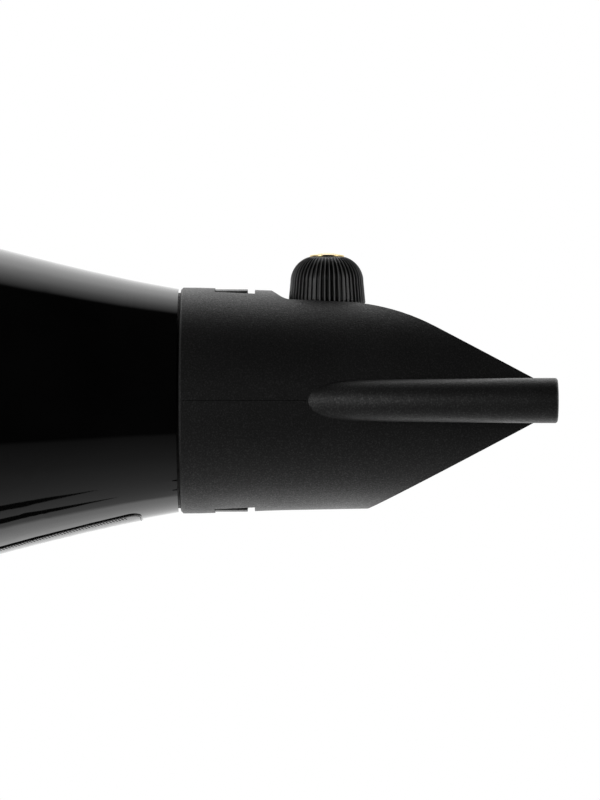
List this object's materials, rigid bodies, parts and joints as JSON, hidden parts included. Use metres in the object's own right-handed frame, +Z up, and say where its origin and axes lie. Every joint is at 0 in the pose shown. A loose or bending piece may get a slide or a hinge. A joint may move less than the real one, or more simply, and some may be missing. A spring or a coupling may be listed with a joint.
{
  "type": "hair dryer",
  "caption": "Pistol-shaped hair dryer with a flared gloss barrel, tilted grip, rear intake guard and a matt wedge-shaped concentrator nozzle with a ribbed adjuster knob.",
  "frame": {"origin": "middle of the hand grip, on the grip's own axis, 95 mm below the barrel's axis", "axes": "+X along the barrel towards the air outlet, +Y to the user's left, +Z up at a right angle to the barrel; the grip leans 5 degrees, its foot forward"},
  "size_m": [0.2474, 0.0892, 0.2162],
  "materials": {
    "gloss_black": "polished",
    "matt_black": "fine spark texture",
    "knob_black": "satin ribs",
    "gold": "polished gold colour",
    "black_panel": "satin",
    "grey_switch": "satin",
    "plate": "satin label",
    "white_plastic": "matt",
    "heat_plastic": "matt heat-proof moulding",
    "steel": "machined",
    "dark_steel": "blackened wire",
    "laminate": "stacked laminations",
    "copper": "enamelled copper wire",
    "brass_metal": "turned",
    "mica": "flaked mica sheet",
    "nichrome": "resistance wire",
    "sleeve_mica": "rolled mica paper",
    "carbon": "pressed carbon",
    "rubber_black": "soft matt"
  },
  "bodies": {
    "root": {"casing_right": "gloss_black", "casing_left": "gloss_black", "casing_screws": "dark_steel", "rating_plate": "plate", "outlet_ring": "heat_plastic", "outlet_grille": "heat_plastic", "heater_sleeve": "sleeve_mica", "mica_board_flat": "mica", "mica_board_upright": "mica", "heater_coil_rear": "nichrome", "heater_coil_front": "nichrome", "thermal_cutout": "brass_metal", "thermal_fuse": "brass_metal", "fan_duct": "white_plastic", "air_guide": "white_plastic", "motor_stator": "laminate", "field_coils": "copper", "motor_bracket_rear": "steel", "motor_bracket_front": "steel", "rear_bush": "brass_metal", "front_bush": "brass_metal", "brush_holders": "brass_metal", "carbon_brushes": "carbon", "rear_trim_ring": "gold", "switch_panel": "black_panel", "speed_switch": "grey_switch", "heat_switch": "grey_switch", "cool_switch": "grey_switch", "switch_terminals": "brass_metal", "cool_spring": "steel", "cord_gland": "rubber_black", "hanging_loop": "matt_black", "cord_clamp": "white_plastic", "clamp_screws": "steel"},
    "rotor": {"motor_shaft": "steel", "armature_core": "laminate", "armature_windings": "copper", "commutator": "copper", "fan_impeller": "grey_switch", "fan_nut": "brass_metal"},
    "nozzle_ring": {"retaining_ring": "steel"},
    "nozzle": {"nozzle_shell": "matt_black", "nozzle_clips": "matt_black", "knob_bushing": "brass_metal"},
    "knob": {"adjuster_knob": "knob_black", "knob_cap": "gold", "knob_spindle": "steel", "spindle_clip": "steel", "flow_vane": "heat_plastic"},
    "speed_rocker": {"speed_rocker": "grey_switch"},
    "heat_rocker": {"heat_rocker": "grey_switch"},
    "cool_button": {"cool_button": "grey_switch"},
    "guard": {"rear_guard": "matt_black", "filter_mesh": "steel"}
  },
  "joints": [
    {"name": "fan_spin", "type": "hinge", "parent": "root", "child": "rotor", "pos_m": [-0.04, 0, 0.095], "axis": [1, 0, 0], "continuous": true},
    {"name": "nozzle_turn", "type": "hinge", "parent": "root", "child": "nozzle_ring", "pos_m": [0.083, 0, 0.095], "axis": [1, 0, 0], "continuous": true},
    {"name": "nozzle_pull", "type": "slide", "parent": "nozzle_ring", "child": "nozzle", "axis": [1, 0, 0], "range_m": [0, 0.022]},
    {"name": "knob_turn", "type": "hinge", "parent": "nozzle", "child": "knob", "pos_m": [0.1121, 0, 0.095], "axis": [0, 0, 1], "range_deg": [-45, 45]},
    {"name": "speed_rock", "type": "hinge", "parent": "root", "child": "speed_rocker", "pos_m": [0.01396, 0, -0.02187], "axis": [0, 1, 0], "range_deg": [-9, 9]},
    {"name": "heat_rock", "type": "hinge", "parent": "root", "child": "heat_rocker", "pos_m": [0.01182, 0, 0.00254], "axis": [0, 1, 0], "range_deg": [-9, 9]},
    {"name": "cool_press", "type": "slide", "parent": "root", "child": "cool_button", "axis": [-0.9962, 0, -0.0872], "range_m": [0, 0.002], "stiffness_N_per_m": 300, "springref_m": -0.002, "deforming": ["cool_spring"]},
    {"name": "guard_pull", "type": "slide", "parent": "root", "child": "guard", "axis": [-1, 0, 0], "range_m": [0, 0.03]}
  ]
}
